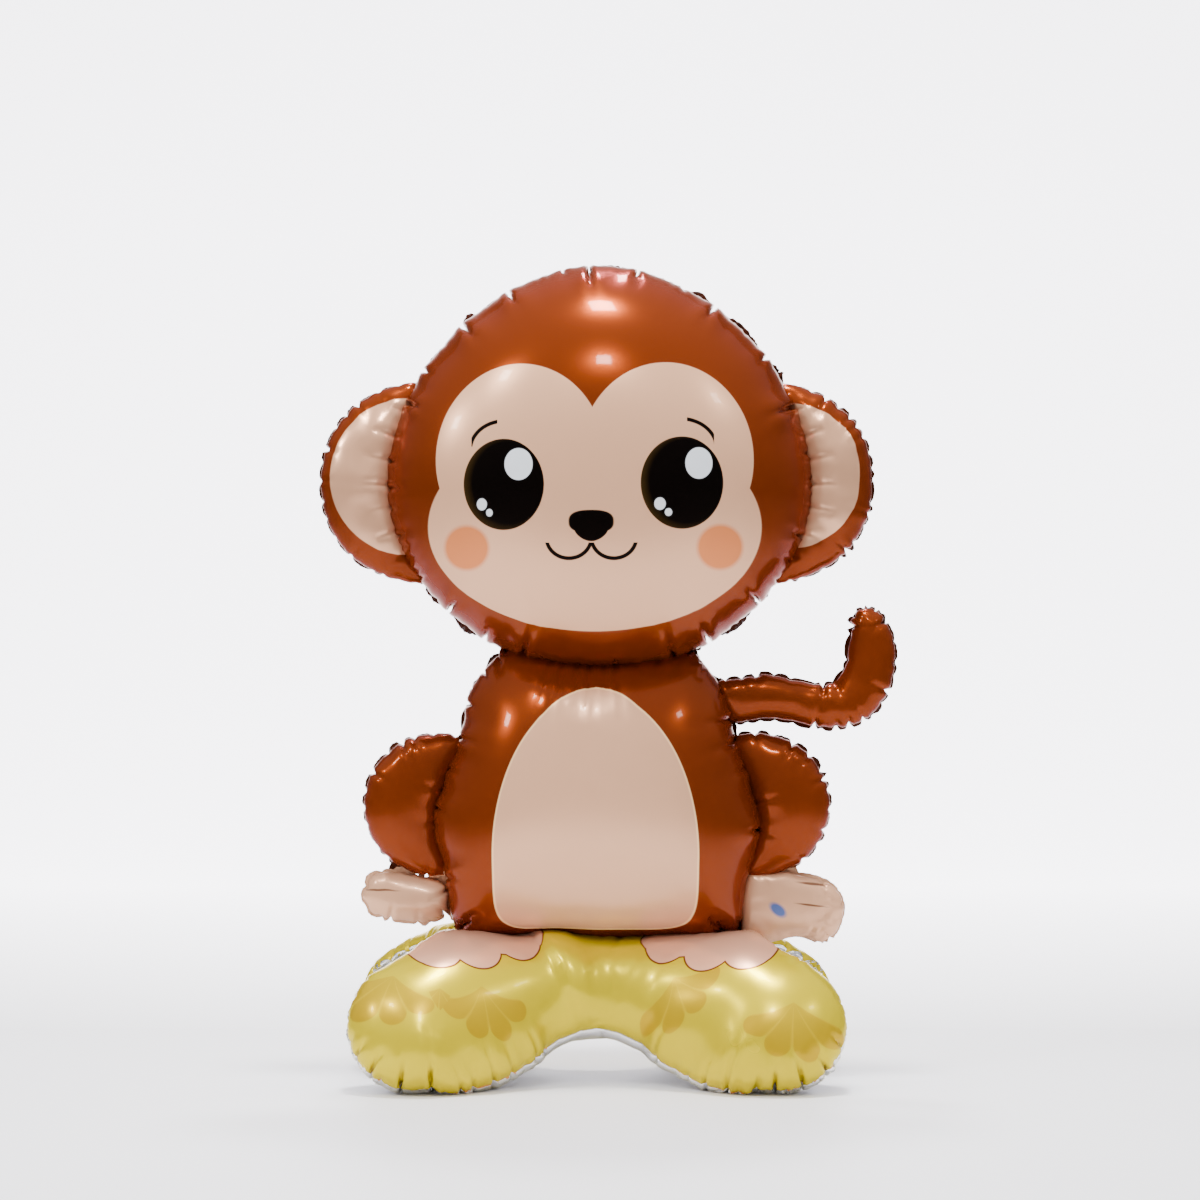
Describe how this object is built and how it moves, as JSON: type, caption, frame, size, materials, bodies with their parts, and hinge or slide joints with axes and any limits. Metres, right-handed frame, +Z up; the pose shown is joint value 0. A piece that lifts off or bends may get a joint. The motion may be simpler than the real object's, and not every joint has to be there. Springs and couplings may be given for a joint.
{
  "type": "foil balloon monkey figure",
  "caption": "Standing foil balloon monkey with round ears, a printed face and belly and a curled tail, on a separate X-shaped inflated base with rounded legs.",
  "frame": {"origin": "on the floor, under the middle of the whole balloon's box", "axes": "+Z up, the face looks along -Y, +X towards the tail"},
  "size_m": [0.5722, 0.3516, 0.8],
  "materials": {
    "figure_foil": "glossy brown and peach printed metallised film, puckered along its heat seals",
    "base_foil": "glossy yellow printed metallised film with a plain silver underside"
  },
  "bodies": {
    "root": {"figure": "figure_foil", "base": "base_foil"}
  },
  "joints": []
}
